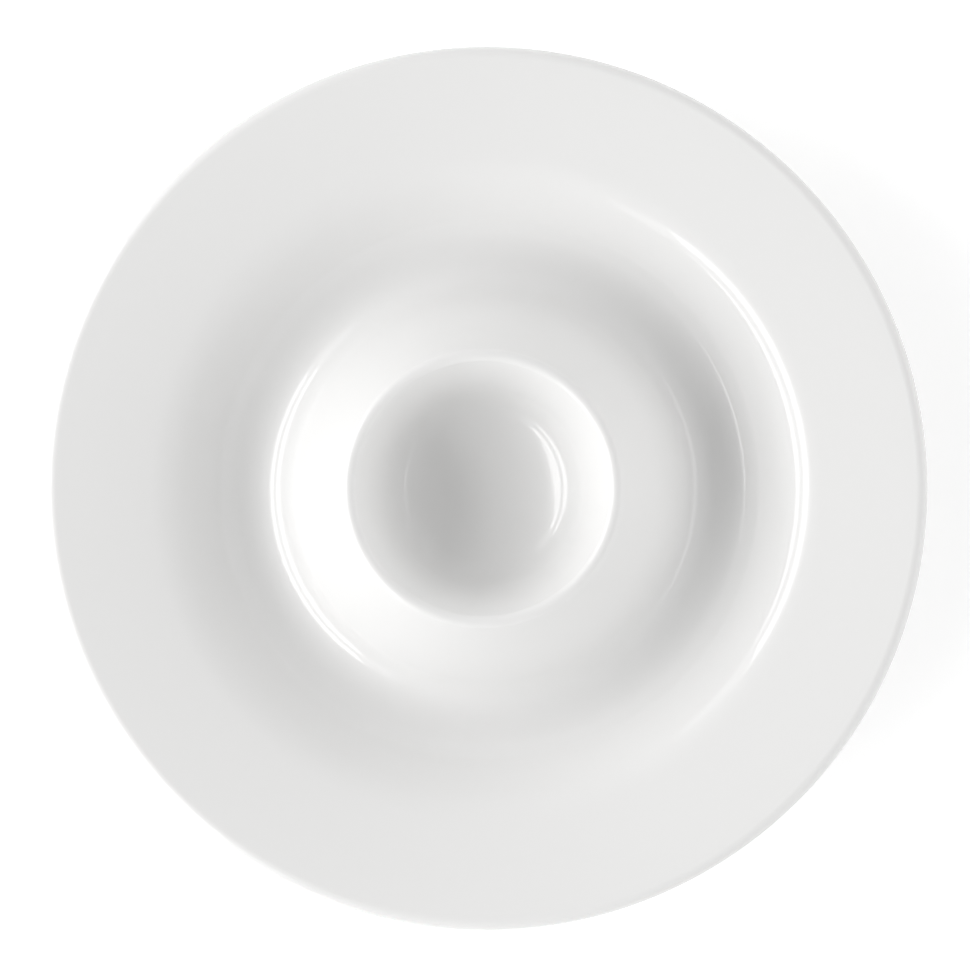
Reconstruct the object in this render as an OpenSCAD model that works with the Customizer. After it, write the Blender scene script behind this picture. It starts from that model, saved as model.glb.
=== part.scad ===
// Egg cup that stands in the middle of its own saucer, in glazed porcelain.
// Everything is turned about Z, and the table is at Z = 0.

/* [Saucer] */
// Diameter across the rim
saucer_d = 130; // [116:1:144]
// Height of the rim's edge above the table
rim_h = 18.6; // [17.6:0.2:21]
// Thickness of the rim's edge
edge_t = 3; // [2.4:0.1:3.6]
// Slope of the well's wall, in degrees
wall_slope = 37.8; // [34:0.2:42]
// Height of the turn from the well into the rim above the table
well_h = 15.8; // [15:0.2:17]
// Length of the straight stretch from the cup's hollow to the crease at the foot of the well's wall
land_w = 1.4; // [1:0.1:2]
// Slope of that stretch, in degrees
land_slope = 25.5; // [20:0.5:30]
// Height of the well's floor above the table, at its lowest point
floor_h = 8; // [7:0.25:9.5]

/* [Cup] */
// Diameter of the mouth, across the crest of the lip
mouth_d = 39.2; // [36:0.2:42]
// Height of the lip above the table
lip_h = 25; // [22:0.5:28]
// Diameter of the ring on which the bowl's floor turns up into its wall, at the middle of that round
bowl_d = 15; // [12:0.2:17]
// Height of the bowl's floor above the table, at its lowest point
bowl_h = 10.4; // [8:0.2:12]

/* [Walls] */
// Thickness of the finished wall, glaze included
wall = 3.8; // [3.2:0.1:4.2]
// Thickness of the glaze
glaze = 0.25; // [0.15:0.05:0.35]

/* [Foot ring] */
// Diameter of the foot ring, across its outside
foot_d = 75; // [68:0.5:82]
// Width of the foot ring
foot_w = 3.4; // [3:0.1:4]
// How far inside the foot ring's outer face the cup's hollow lies
skirt_in = 2.5; // [2:0.1:3]
// Height up to which the foot ring is left bare
bare_h = 1.2; // [1:0.1:1.6]
// Height of the joint between cup and saucer above the well's floor
joint_rise = 1.4; // [1:0.1:2]

/* [Roundings] */
// Radius of the lip
lip_r = 1.1; // [0.7:0.1:1.6]
// Radius of the hollow where the cup meets the well's floor
skirt_r = 7.6; // [6:0.2:9]
// Radius of the crease round the well's floor
crease_r = 4; // [2:0.1:5]
// Radius of the turn from the rim down into the well
well_r = 12.5; // [9:0.5:14]
// Radius of the bowl's dished floor
dish_r = 27; // [22:1:34]
// Radius of the round between the bowl's floor and its wall
bowl_r = 8; // [6:0.5:9]
// Smallest radius in the corners on the underside
under_r = 1.2; // [1:0.1:1.5]
// Radius on the foot ring's bearing edges
foot_r = 0.8; // [0.5:0.1:1.2]

/* [Hidden] */
$fn = 180;
// Largest turn, in degrees, between two points of a round
arc_step = 5;
// Turns smaller than this share of a step are none
still_share = 0.01;
// Radius on the rim's edge, as a share of the edge's thickness
edge_share = 0.45;
biscuit = [0.87, 0.85, 0.81];
glazed = [0.96, 0.96, 0.95];

edge_r = edge_t * edge_share;
foot_in_d = foot_d - 2 * foot_w;
skirt_d = foot_d - 2 * skirt_in;
middle_d = (bowl_d + skirt_d) / 2;
joint_h = floor_h + joint_rise;

// Centres of the rounds along the well, each placed by a straight stretch from the one before
skirt_c = [skirt_d / 2, floor_h + skirt_r];
crease_c = skirt_c
    + (skirt_r - crease_r) * [sin(land_slope), -cos(land_slope)]
    + land_w * [cos(land_slope), sin(land_slope)];
both_r = crease_r + well_r;
wall_w = (well_h - well_r - crease_c[1] + both_r * cos(wall_slope)) / sin(wall_slope);
well_c = crease_c
    + both_r * [sin(wall_slope), -cos(wall_slope)]
    + wall_w * [cos(wall_slope), sin(wall_slope)];

// A line is a list of rounds, each [distance from the axis, height, radius], joined by straight tangents.
// The clay lies on the right of a line. A round with a positive radius bulges out, a negative one is hollow.

function place(c) = [c[0], c[1]];

// Which way the outside faces along the tangent from one round to the next, in degrees
function facing(a, b) =
    let(step = place(b) - place(a))
    atan2(step[1], step[0]) + acos(max(-1, min(1, (a[2] - b[2]) / norm(step))));

// The shorter way from one direction to another, in degrees
function turn(from, to) =
    let(t = (to - from) % 360)
    t > 180 ? t - 360 : t < -180 ? t + 360 : t;

// Points along one round
function arc(c, from, to) =
    let(t = turn(from, to), n = max(0, ceil(abs(t) / arc_step - still_share)))
    [for (k = [0:n]) let(a = n == 0 ? from : from + t * k / n) place(c) + c[2] * [cos(a), sin(a)]];

// Points along a whole line that faces the given ways at its ends
function outline(line, first, last) =
    [for (i = [0:len(line) - 1])
        each arc(
            line[i],
            i == 0 ? first : facing(line[i - 1], line[i]),
            i == len(line) - 1 ? last : facing(line[i], line[i + 1])
        )];

// A line moved outwards, or inwards where the distance is negative, with its rounds kept concentric
function moved(line, distance) = [for (c = line) [c[0], c[1], c[2] + distance]];

function backwards(list) = [for (i = [len(list) - 1:-1:0]) list[i]];

// The round on the underside that keeps the wall's thickness below round i of the line above.
// It is concentric, unless it would turn sharper than the corners of the underside may.
function beneath(line, i) =
    let(
        c = line[i],
        before = facing(line[i - 1], c),
        half = turn(before, facing(c, line[i + 1])) / 2,
        middle = before + half,
        hollow_r = max(under_r, c[2] - wall),
        drop = (wall + hollow_r - c[2]) / cos(half)
    )
    c[2] < 0
        ? [c[0], c[1], wall - c[2]]
        : [c[0] - drop * cos(middle), c[1] - drop * sin(middle), -hollow_r];

// What shows from above, from the middle of the bowl to the rim's edge
bowl_round = [
    bowl_d / 2,
    bowl_h + dish_r - sqrt(pow(dish_r - bowl_r, 2) - pow(bowl_d / 2, 2)),
    -bowl_r
];
upper = [
    [0, bowl_h + dish_r, -dish_r],
    bowl_round,
    [mouth_d / 2, lip_h - lip_r, lip_r],
    [skirt_c[0], skirt_c[1], -skirt_r],
    [crease_c[0], crease_c[1], -crease_r],
    [well_c[0], well_c[1], well_r],
    [saucer_d / 2 - edge_r, rim_h - edge_r, edge_r],
    [saucer_d / 2 - edge_r, rim_h - edge_t + edge_r, edge_r]
];
// Places in that list
BOWL = 1;
SKIRT = 3;
CREASE = 4;
WELL = 5;

// The corners between the foot ring and the underside
ring_h = floor_h - wall - under_r;
foot_out = [foot_d / 2 + under_r, ring_h, -under_r];
foot_in = [foot_in_d / 2 - under_r, ring_h, -under_r];

// Finished surfaces down to a height on the foot ring's two sides
function outside(low) = concat(
    upper,
    [beneath(upper, WELL), beneath(upper, CREASE), foot_out, [foot_d / 2, low, 0]]
);
function inside(low) = concat(
    [[foot_in_d / 2, low, 0], foot_in],
    [for (i = [SKIRT:-1:BOWL]) beneath(upper, i)],
    [[0, bowl_h + dish_r, dish_r + wall]]
);

foot_bearing = [
    [foot_d / 2 - glaze - foot_r, foot_r, foot_r],
    [foot_in_d / 2 + glaze + foot_r, foot_r, foot_r]
];

UP = 90;
OUT = 0;
IN = 180;
DOWN = -90;

// Half section of the clay, cup and saucer together
module clay() {
    above = moved(outside(0), -glaze);
    below = moved(inside(0), -glaze);
    ring = concat(
        [for (i = [0:len(above) - 2]) above[i]],
        foot_bearing,
        [for (i = [1:len(below) - 1]) below[i]]
    );
    polygon(outline(ring, UP, DOWN));
}

// Half section of the space that belongs to the cup: all above the joint, and the middle under the bowl
module cup_space() {
    translate([0, joint_h]) square([skirt_d / 2, lip_h]);
    square([middle_d / 2, joint_h + glaze]);
}

module saucer() color(biscuit) rotate_extrude() difference() {
    clay();
    cup_space();
}

module cup() color(biscuit) rotate_extrude() intersection() {
    clay();
    cup_space();
}

// A coat between a finished surface and the clay below it
module coat(line, first, last)
    color(glazed) rotate_extrude() polygon(concat(
        outline(line, first, last),
        backwards(outline(moved(line, -glaze), first, last))
    ));

module top_glaze() coat(outside(bare_h), UP, OUT);

module base_glaze() coat(inside(bare_h), IN, DOWN);

saucer();
cup();
top_glaze();
base_glaze();
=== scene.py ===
"""Looks of the egg cup: glazed porcelain, turned about Z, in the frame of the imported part."""

import math

import bmesh
import bpy
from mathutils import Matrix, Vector


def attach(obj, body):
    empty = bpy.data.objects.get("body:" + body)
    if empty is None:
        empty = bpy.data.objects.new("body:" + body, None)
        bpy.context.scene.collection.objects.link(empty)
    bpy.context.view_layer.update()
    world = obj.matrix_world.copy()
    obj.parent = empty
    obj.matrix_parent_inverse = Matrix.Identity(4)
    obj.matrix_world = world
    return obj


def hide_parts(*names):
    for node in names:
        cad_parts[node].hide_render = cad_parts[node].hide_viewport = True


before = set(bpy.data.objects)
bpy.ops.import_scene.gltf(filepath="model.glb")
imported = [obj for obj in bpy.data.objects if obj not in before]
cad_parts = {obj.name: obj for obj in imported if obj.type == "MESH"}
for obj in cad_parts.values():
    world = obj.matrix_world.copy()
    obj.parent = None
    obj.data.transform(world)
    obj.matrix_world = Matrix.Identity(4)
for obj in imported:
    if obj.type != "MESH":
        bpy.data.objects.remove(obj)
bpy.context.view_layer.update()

# Sizes of the object are in millimetres, with the names that they have in part.scad
MM = 0.001

# Saucer
SAUCER_D = 130
RIM_H = 18.6
EDGE_T = 3
WALL_SLOPE = math.radians(37.8)
WELL_H = 15.8
LAND_W = 1.4
LAND_SLOPE = math.radians(25.5)
FLOOR_H = 8
# Radius on the rim's edge, as a share of the edge's thickness
EDGE_SHARE = 0.45

# Cup
MOUTH_D = 39.2
LIP_H = 25
BOWL_D = 15
BOWL_H = 10.4

# Walls
WALL = 3.8
GLAZE = 0.25

# Foot ring, and the joint above it
FOOT_D = 75
FOOT_W = 3.4
SKIRT_IN = 2.5
BARE_H = 1.2
JOINT_RISE = 1.4

# Roundings
LIP_R = 1.1
SKIRT_R = 7.6
CREASE_R = 4
WELL_R = 12.5
DISH_R = 27
BOWL_R = 8
UNDER_R = 1.2
FOOT_R = 0.8

# Worked out from those
EDGE_R = EDGE_T * EDGE_SHARE
FOOT_IN_D = FOOT_D - 2 * FOOT_W
SKIRT_D = FOOT_D - 2 * SKIRT_IN
JOINT_H = FLOOR_H + JOINT_RISE
RING_H = FLOOR_H - WALL - UNDER_R

# Points round the axis, and the largest turn in degrees between two points of a round
AROUND = 256
STEP = 3.0
# Turns smaller than this share of a step are none
STILL_SHARE = 0.01
# Distance from the axis, in millimetres, that counts as on it
ON_AXIS = 1e-6
# Distance in metres within which two points are one
SAME_POINT = 1e-7
# Edges that turn by more than this stay sharp
SHARP = math.radians(40)

# Ways in which the ends of a line face, in degrees
UP, OUT, IN, DOWN = 90, 0, 180, -90


# A line is a list of rounds [distance from the axis, height, radius] joined by tangents.
# The clay lies on its right. A positive radius bulges out, a negative one is hollow.
def facing(a, b):
    """Which way the outside faces along the tangent from one round to the next, in degrees."""
    dx, dy = b[0] - a[0], b[1] - a[1]
    reach = max(-1.0, min(1.0, (a[2] - b[2]) / math.hypot(dx, dy)))
    return math.degrees(math.atan2(dy, dx) + math.acos(reach))


def shorter(turn):
    """The same turn the shorter way round, in degrees."""
    return (turn + 180.0) % 360.0 - 180.0


def outline(line, first, last):
    """Points along a whole line that faces the given ways at its ends."""
    points = []
    for i, (x, z, r) in enumerate(line):
        start = first if i == 0 else facing(line[i - 1], line[i])
        end = last if i == len(line) - 1 else facing(line[i], line[i + 1])
        turn = shorter(end - start)
        steps = math.ceil(abs(turn) / STEP - STILL_SHARE) if r else 0
        for k in range(steps + 1):
            a = math.radians(start + (turn * k / steps if steps else 0))
            points.append((x + r * math.cos(a), z + r * math.sin(a)))
    return points


def moved(line, distance):
    """The line moved outwards, or inwards where the distance is negative."""
    return [[x, z, r + distance] for x, z, r in line]


def beneath(line, i):
    """The round on the underside that keeps the wall's thickness below round i of the line."""
    x, z, r = line[i]
    if r < 0:
        return [x, z, WALL - r]
    before = facing(line[i - 1], line[i])
    half = shorter(facing(line[i], line[i + 1]) - before) / 2
    middle = math.radians(before + half)
    hollow = max(UNDER_R, r - WALL)
    drop = (WALL + hollow - r) / math.cos(math.radians(half))
    return [x - drop * math.cos(middle), z - drop * math.sin(middle), -hollow]


def onward(centre, radii, straight, slope):
    """Centre of the next round, past a straight stretch of that slope."""
    x, z = centre
    return (
        x + radii * math.sin(slope) + straight * math.cos(slope),
        z - radii * math.cos(slope) + straight * math.sin(slope),
    )


# Centres of the rounds along the well, each placed by a straight stretch from the one before
SKIRT_C = (SKIRT_D / 2, FLOOR_H + SKIRT_R)
CREASE_C = onward(SKIRT_C, SKIRT_R - CREASE_R, LAND_W, LAND_SLOPE)
BOTH_R = CREASE_R + WELL_R
WALL_W = (WELL_H - WELL_R - CREASE_C[1] + BOTH_R * math.cos(WALL_SLOPE)) / math.sin(WALL_SLOPE)
WELL_C = onward(CREASE_C, BOTH_R, WALL_W, WALL_SLOPE)

# What shows from above, from the middle of the bowl to the rim's edge
DISH_Z = BOWL_H + DISH_R
BOWL_Z = DISH_Z - math.sqrt((DISH_R - BOWL_R) ** 2 - (BOWL_D / 2) ** 2)
UPPER = [
    [0, DISH_Z, -DISH_R],
    [BOWL_D / 2, BOWL_Z, -BOWL_R],
    [MOUTH_D / 2, LIP_H - LIP_R, LIP_R],
    [*SKIRT_C, -SKIRT_R],
    [*CREASE_C, -CREASE_R],
    [*WELL_C, WELL_R],
    [SAUCER_D / 2 - EDGE_R, RIM_H - EDGE_R, EDGE_R],
    [SAUCER_D / 2 - EDGE_R, RIM_H - EDGE_T + EDGE_R, EDGE_R],
]
# Places in that list
BOWL, SKIRT, CREASE, WELL = 1, 3, 4, 5


def outside(low):
    """Finished surface from the bowl over the rim, down to a height on the foot ring's outer face."""
    foot = [FOOT_D / 2 + UNDER_R, RING_H, -UNDER_R]
    return UPPER + [beneath(UPPER, WELL), beneath(UPPER, CREASE), foot, [FOOT_D / 2, low, 0]]


def inside(low):
    """Finished surface from a height on the foot ring's inner face to the middle under the bowl."""
    foot = [FOOT_IN_D / 2 - UNDER_R, RING_H, -UNDER_R]
    under = [beneath(UPPER, i) for i in range(SKIRT, BOWL - 1, -1)]
    return [[FOOT_IN_D / 2, low, 0], foot] + under + [[0, DISH_Z, DISH_R + WALL]]


def clay():
    """Section of saucer and cup together, without their glaze."""
    above = moved(outside(0), -GLAZE)[:-1]
    below = moved(inside(0), -GLAZE)[1:]
    bearing = [
        [FOOT_D / 2 - GLAZE - FOOT_R, FOOT_R, FOOT_R],
        [FOOT_IN_D / 2 + GLAZE + FOOT_R, FOOT_R, FOOT_R],
    ]
    return outline(above + bearing + below, UP, DOWN)


def crossing(points):
    """Where a line of the clay crosses the joint's height: the next point's index, and the place."""
    for i, (a, b) in enumerate(zip(points, points[1:])):
        under_skirt = MOUTH_D / 2 < min(a[0], b[0]) and max(a[0], b[0]) < SKIRT_D / 2
        if under_skirt and (a[1] - JOINT_H) * (b[1] - JOINT_H) <= 0:
            share = (JOINT_H - a[1]) / (b[1] - a[1])
            return i + 1, (a[0] + (b[0] - a[0]) * share, JOINT_H)
    raise ValueError("the line doesn't cross the joint")


def parted(points):
    """Sections of the saucer and of the cup, which meet flat face to flat face at the joint."""
    after_outer, outer = crossing(points)
    from_back, inner = crossing(points[::-1])
    after_inner = len(points) - from_back
    saucer = [outer] + points[after_outer:after_inner] + [inner]
    cup = points[:after_outer] + [outer, inner] + points[after_inner:]
    return saucer, cup


def coat(line, first, last):
    """Section of a coat of glaze below a finished surface."""
    return outline(line, first, last) + outline(moved(line, -GLAZE), first, last)[::-1]


def ring(bm, r, z):
    """Points round the axis at one distance and height, or the one point on it."""
    if r < ON_AXIS:
        return [bm.verts.new((0, 0, z * MM))]
    turns = [2 * math.pi * k / AROUND for k in range(AROUND)]
    return [bm.verts.new((r * MM * math.cos(a), r * MM * math.sin(a), z * MM)) for a in turns]


def lathe(name, section):
    """Turns a closed half section, in millimetres, about Z."""
    bm = bmesh.new()
    rings = [ring(bm, r, z) for r, z in section]
    for low, high in zip(rings, rings[1:] + rings[:1]):
        if len(low) == 1 and len(high) == 1:
            continue
        for k in range(AROUND):
            n = (k + 1) % AROUND
            corners = [low[k % len(low)], low[n % len(low)], high[n % len(high)], high[k % len(high)]]
            bm.faces.new([v for i, v in enumerate(corners) if v is not corners[i - 1]])
    bmesh.ops.remove_doubles(bm, verts=bm.verts, dist=SAME_POINT)
    bmesh.ops.recalc_face_normals(bm, faces=bm.faces)
    mesh = bpy.data.meshes.new(name)
    bm.to_mesh(mesh)
    bm.free()
    mesh.shade_smooth()
    piece = bpy.data.objects.new(name, mesh)
    bpy.context.scene.collection.objects.link(piece)
    bpy.context.view_layer.objects.active = piece
    mesh.set_sharp_from_angle(angle=SHARP)
    return piece


def node(tree, kind, **values):
    """A new shader node with its settings."""
    made = tree.nodes.new(kind)
    for key, value in values.items():
        setattr(made, key, value)
    return made


def shader(name, colour, roughness, ior):
    """A plain material, with its node tree and its shader."""
    material = bpy.data.materials.new(name)
    material.use_nodes = True
    bsdf = material.node_tree.nodes["Principled BSDF"]
    bsdf.inputs["Base Color"].default_value = (*colour, 1)
    bsdf.inputs["Roughness"].default_value = roughness
    bsdf.inputs["IOR"].default_value = ior
    return material, material.node_tree, bsdf


def relief(tree, bsdf, scale, detail, strength, height):
    """Noise that lifts the surface a little, by a height in millimetres. Returns the noise node."""
    where = node(tree, "ShaderNodeTexCoord")
    noise = node(tree, "ShaderNodeTexNoise")
    noise.inputs["Scale"].default_value = scale
    noise.inputs["Detail"].default_value = detail
    bump = node(tree, "ShaderNodeBump")
    bump.inputs["Strength"].default_value = strength
    bump.inputs["Distance"].default_value = height * MM
    tree.links.new(where.outputs["Object"], noise.inputs["Vector"])
    tree.links.new(noise.outputs["Fac"], bump.inputs["Height"])
    tree.links.new(bump.outputs["Normal"], bsdf.inputs["Normal"])
    return noise


def white_glaze():
    """Glossy white glaze, very faintly wavy."""
    material, tree, bsdf = shader("white_glaze", colour=(0.80, 0.798, 0.792), roughness=0.08, ior=1.5)
    relief(tree, bsdf, scale=38, detail=1, strength=0.12, height=0.12)
    return material


def bare_biscuit():
    """Matt fired clay with a fine grain."""
    material, tree, bsdf = shader("bare_biscuit", colour=(0.76, 0.74, 0.69), roughness=0.75, ior=1.45)
    grain = relief(tree, bsdf, scale=2600, detail=3, strength=0.5, height=0.06)
    ramp = node(tree, "ShaderNodeValToRGB")
    ramp.color_ramp.elements[0].color = (0.70, 0.675, 0.62, 1)
    ramp.color_ramp.elements[1].color = (0.81, 0.79, 0.74, 1)
    tree.links.new(grain.outputs["Fac"], ramp.inputs["Fac"])
    tree.links.new(ramp.outputs["Color"], bsdf.inputs["Base Color"])
    return material


# The four pieces, each in the place of its CAD node
saucer_section, cup_section = parted(clay())
glaze, biscuit = white_glaze(), bare_biscuit()
for name, section, cad_node, material, slot in (
    ("saucer_body", saucer_section, "saucer", biscuit, "biscuit"),
    ("cup_body", cup_section, "cup", biscuit, "biscuit"),
    ("glaze_above", coat(outside(BARE_H), UP, OUT), "top_glaze", glaze, "glaze"),
    ("glaze_below", coat(inside(BARE_H), IN, DOWN), "base_glaze", glaze, "glaze"),
):
    piece = lathe(name, section)
    piece.data.materials.append(material)
    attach(piece, "root")
    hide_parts(cad_node)

# Floor: half its width in metres, its grey, and its glow where it is seen or mirrored
FLOOR_HALF = 3.0
PAPER_GREY = 0.8
PAPER_GLOW = 0.3


def white_paper():
    """Plain paper, a little lighter where it is seen or mirrored, so that the shadow stays faint."""
    material = bpy.data.materials.new("white_paper")
    material.use_nodes = True
    tree = material.node_tree
    tree.nodes.clear()
    path = node(tree, "ShaderNodeLightPath")
    mirrored = node(tree, "ShaderNodeMath", operation="MAXIMUM")
    seen = node(tree, "ShaderNodeMath", operation="MAXIMUM")
    tint = node(tree, "ShaderNodeMix", data_type="RGBA")
    tint.inputs["A"].default_value = (PAPER_GREY, PAPER_GREY, PAPER_GREY, 1)
    tint.inputs["B"].default_value = (1, 1, 1, 1)
    diffuse = node(tree, "ShaderNodeBsdfDiffuse")
    faint = node(tree, "ShaderNodeMath", operation="MULTIPLY")
    faint.inputs[1].default_value = PAPER_GLOW
    glow = node(tree, "ShaderNodeEmission")
    both = node(tree, "ShaderNodeAddShader")
    out = node(tree, "ShaderNodeOutputMaterial")
    tree.links.new(path.outputs["Is Glossy Ray"], mirrored.inputs[0])
    tree.links.new(path.outputs["Is Transmission Ray"], mirrored.inputs[1])
    tree.links.new(path.outputs["Is Camera Ray"], seen.inputs[0])
    tree.links.new(mirrored.outputs[0], seen.inputs[1])
    tree.links.new(seen.outputs[0], tint.inputs["Factor"])
    tree.links.new(tint.outputs["Result"], diffuse.inputs["Color"])
    tree.links.new(seen.outputs[0], faint.inputs[0])
    tree.links.new(faint.outputs[0], glow.inputs["Strength"])
    tree.links.new(diffuse.outputs["BSDF"], both.inputs[0])
    tree.links.new(glow.outputs["Emission"], both.inputs[1])
    tree.links.new(both.outputs["Shader"], out.inputs["Surface"])
    return material


def lay_floor():
    """A square of paper that the foot ring stands on."""
    mesh = bpy.data.meshes.new("floor")
    bm = bmesh.new()
    corners = [(x * FLOOR_HALF, y * FLOOR_HALF, 0) for x, y in ((-1, -1), (1, -1), (1, 1), (-1, 1))]
    bm.faces.new([bm.verts.new(corner) for corner in corners])
    bm.to_mesh(mesh)
    bm.free()
    mesh.materials.append(white_paper())
    floor = bpy.data.objects.new("floor", mesh)
    bpy.context.scene.collection.objects.link(floor)


lay_floor()

# Soft boxes: name, direction round Z, elevation, width and height in degrees, and brightness
LIGHTS = [
    ("key_wide", 187, 27, 95, 44, 1.0),
    ("key_high", 190, 41.5, 64, 8, 4.2),
    ("key_strip", 188, 26, 76, 9, 3.4),
    ("fill_high", 0, 42, 90, 24, 0.2),
    ("fill_wide", 0, 15, 100, 24, 0.85),
    ("fill_core", 0, 16.5, 80, 15, 0.65),
    ("rear_low", 72, 7, 45, 10, 1.1),
    ("front_low", 288, 7, 45, 10, 0.6),
]
# Their distance in metres, and the point that they face
AWAY = 1.1
CENTRE = Vector((0, 0, 0.015))


def soft_box(name, azimuth, elevation, wide, tall, bright):
    """A lamp with a white face of that brightness, which the object sees under those angles."""
    data = bpy.data.lights.new(name, "AREA")
    data.shape = "RECTANGLE"
    data.size = 2 * AWAY * math.tan(math.radians(wide / 2))
    data.size_y = 2 * AWAY * math.tan(math.radians(tall / 2))
    data.energy = math.pi * data.size * data.size_y * bright
    lamp = bpy.data.objects.new(name, data)
    bpy.context.scene.collection.objects.link(lamp)
    a, e = math.radians(azimuth), math.radians(elevation)
    way = Vector((math.cos(e) * math.cos(a), math.cos(e) * math.sin(a), math.sin(e)))
    lamp.location = CENTRE + AWAY * way
    lamp.rotation_euler = way.to_track_quat("Z", "Y").to_euler()


for light in LIGHTS:
    soft_box(*light)

# Room: greys by the sine of the elevation, and how bright they are together
WALL_GREYS = [(0.0, 0.9), (0.35, 1.0), (0.65, 0.9), (0.85, 0.55), (0.96, 0.3)]
ROOM_LIGHT = 0.83


def grey_ramp(tree, greys):
    """A soft ramp through greys, each with its place from 0 to 1."""
    ramp = node(tree, "ShaderNodeValToRGB")
    ramp.color_ramp.interpolation = "EASE"
    stops = ramp.color_ramp.elements
    for place, _ in greys[1:-1]:
        stops.new(place)
    for stop, (place, grey) in zip(stops, greys):
        stop.position = place
        stop.color = (grey, grey, grey, 1)
    return ramp


def light_room():
    """A room lit from its walls, dim overhead, and white where the camera sees it."""
    world = bpy.data.worlds.new("room")
    bpy.context.scene.world = world
    world.use_nodes = True
    tree = world.node_tree
    tree.nodes.clear()
    where = node(tree, "ShaderNodeTexCoord")
    part = node(tree, "ShaderNodeSeparateXYZ")
    walls = grey_ramp(tree, WALL_GREYS)
    room = node(tree, "ShaderNodeBackground")
    room.inputs["Strength"].default_value = ROOM_LIGHT
    path = node(tree, "ShaderNodeLightPath")
    seen = node(tree, "ShaderNodeBackground")
    seen.inputs["Color"].default_value = (1, 1, 1, 1)
    seen.inputs["Strength"].default_value = 1
    mix = node(tree, "ShaderNodeMixShader")
    out = node(tree, "ShaderNodeOutputWorld")
    tree.links.new(where.outputs["Generated"], part.inputs[0])
    tree.links.new(part.outputs["Z"], walls.inputs["Fac"])
    tree.links.new(walls.outputs["Color"], room.inputs["Color"])
    tree.links.new(path.outputs["Is Camera Ray"], mix.inputs["Fac"])
    tree.links.new(room.outputs["Background"], mix.inputs[1])
    tree.links.new(seen.outputs["Background"], mix.inputs[2])
    tree.links.new(mix.outputs["Shader"], out.inputs["Surface"])


light_room()

# Camera: its distance from the rim and how far it sees, in metres
FAR = 1.5
SIGHT = 10
# Its lean towards +X, and the side of its square sensor
LEAN = math.radians(3.3)
SENSOR = 36
# Heights of the whole picture and of the rim in the photograph, in pixels
PICTURE_PX = 977
RIM_PX = 884


def place_camera():
    """Almost straight above, with the rim as large in the picture as in the photograph."""
    scene = bpy.context.scene
    data = bpy.data.cameras.new("camera")
    data.sensor_fit = "VERTICAL"
    data.sensor_width = SENSOR
    data.sensor_height = SENSOR
    data.lens = SENSOR * FAR / (SAUCER_D * MM * PICTURE_PX / RIM_PX)
    data.clip_end = SIGHT
    camera = bpy.data.objects.new("camera", data)
    camera.location = Vector((FAR * math.sin(LEAN), 0, RIM_H * MM + FAR * math.cos(LEAN)))
    camera.rotation_euler = (0, LEAN, 0)
    scene.collection.objects.link(camera)
    scene.camera = camera


place_camera()
bpy.context.scene.view_settings.view_transform = "Standard"
